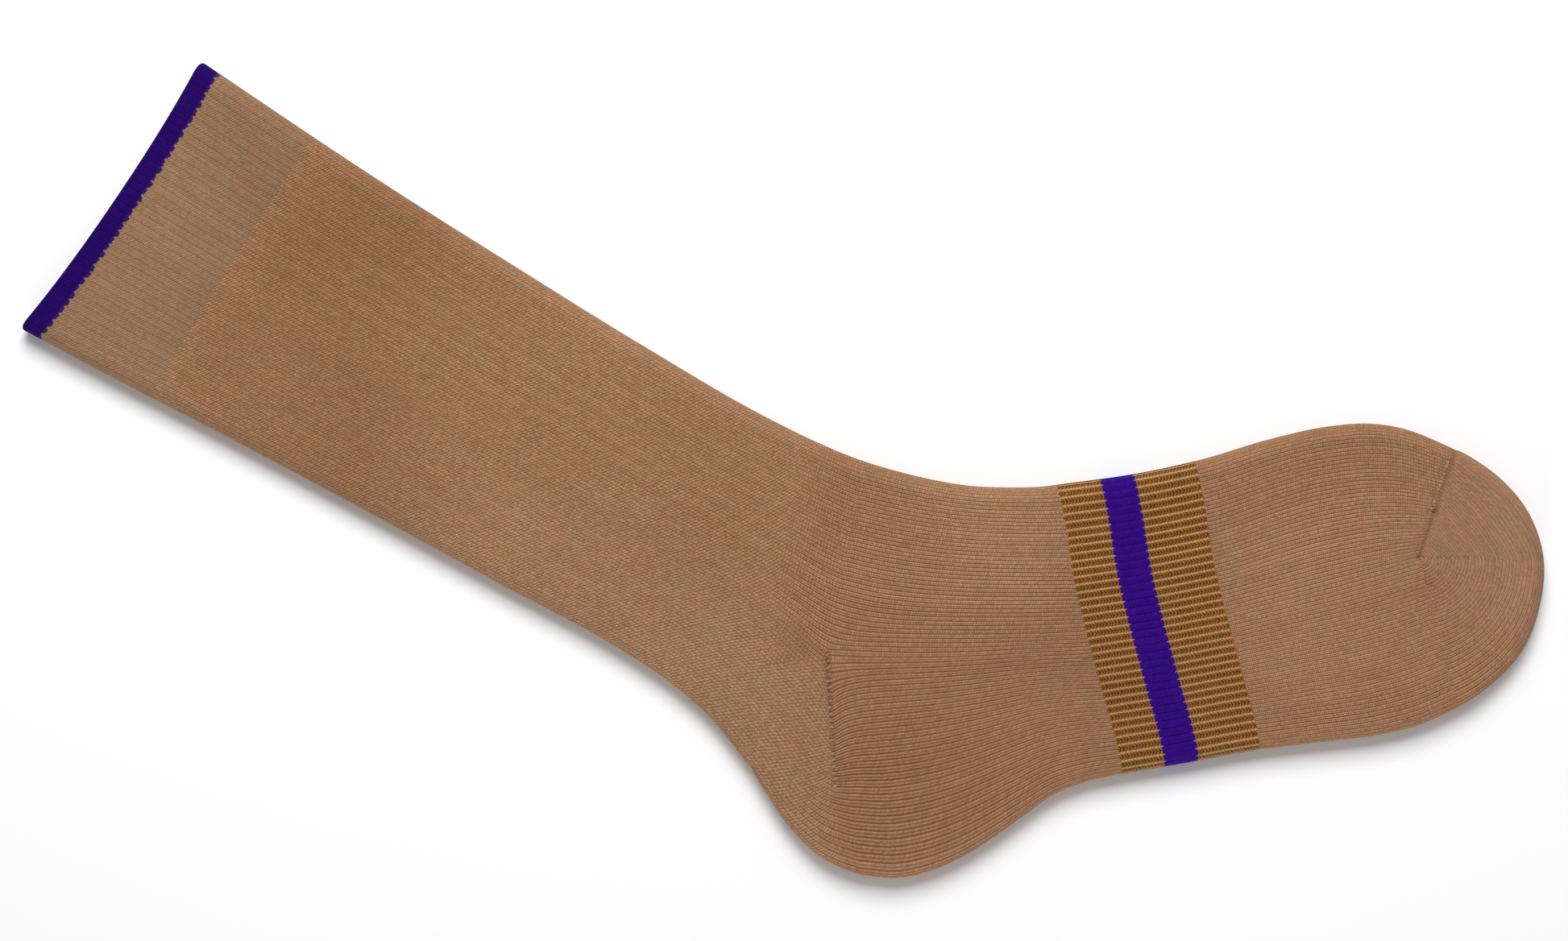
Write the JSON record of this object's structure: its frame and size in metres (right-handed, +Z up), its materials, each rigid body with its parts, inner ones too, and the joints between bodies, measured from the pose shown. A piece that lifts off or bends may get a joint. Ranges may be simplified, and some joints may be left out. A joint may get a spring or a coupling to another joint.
{
  "type": "crew sock",
  "caption": "Tall crew sock lying flat, with a ribbed cuff, contrast welt, open hollow, shaped heel and toe pockets, and a striped band round the arch.",
  "frame": {"origin": "middle of the whole sock's plan, on the surface that it lies on", "axes": "+X along the leg from the cuff's mouth to the ankle, +Y from the sole and calf side to the instep side, +Z up out of the surface"},
  "size_m": [0.4296, 0.2042, 0.0124],
  "materials": {
    "purple_yarn": "fine matt knit, deep purple",
    "cuff_yarn": "shallow rib knit, light brown",
    "leg_yarn": "plain knit, light brown marl",
    "pocket_yarn": "plain knit, light brown, a little denser",
    "band_yarn": "two-colour rib knit, brown on tan"
  },
  "bodies": {
    "root": {"welt": "purple_yarn", "cuff": "cuff_yarn", "leg": "leg_yarn", "heel_pocket": "pocket_yarn", "foot": "leg_yarn", "arch_band_rear": "band_yarn", "arch_stripe": "purple_yarn", "arch_band_front": "band_yarn", "forefoot": "leg_yarn", "toe_pocket": "pocket_yarn"}
  },
  "joints": []
}
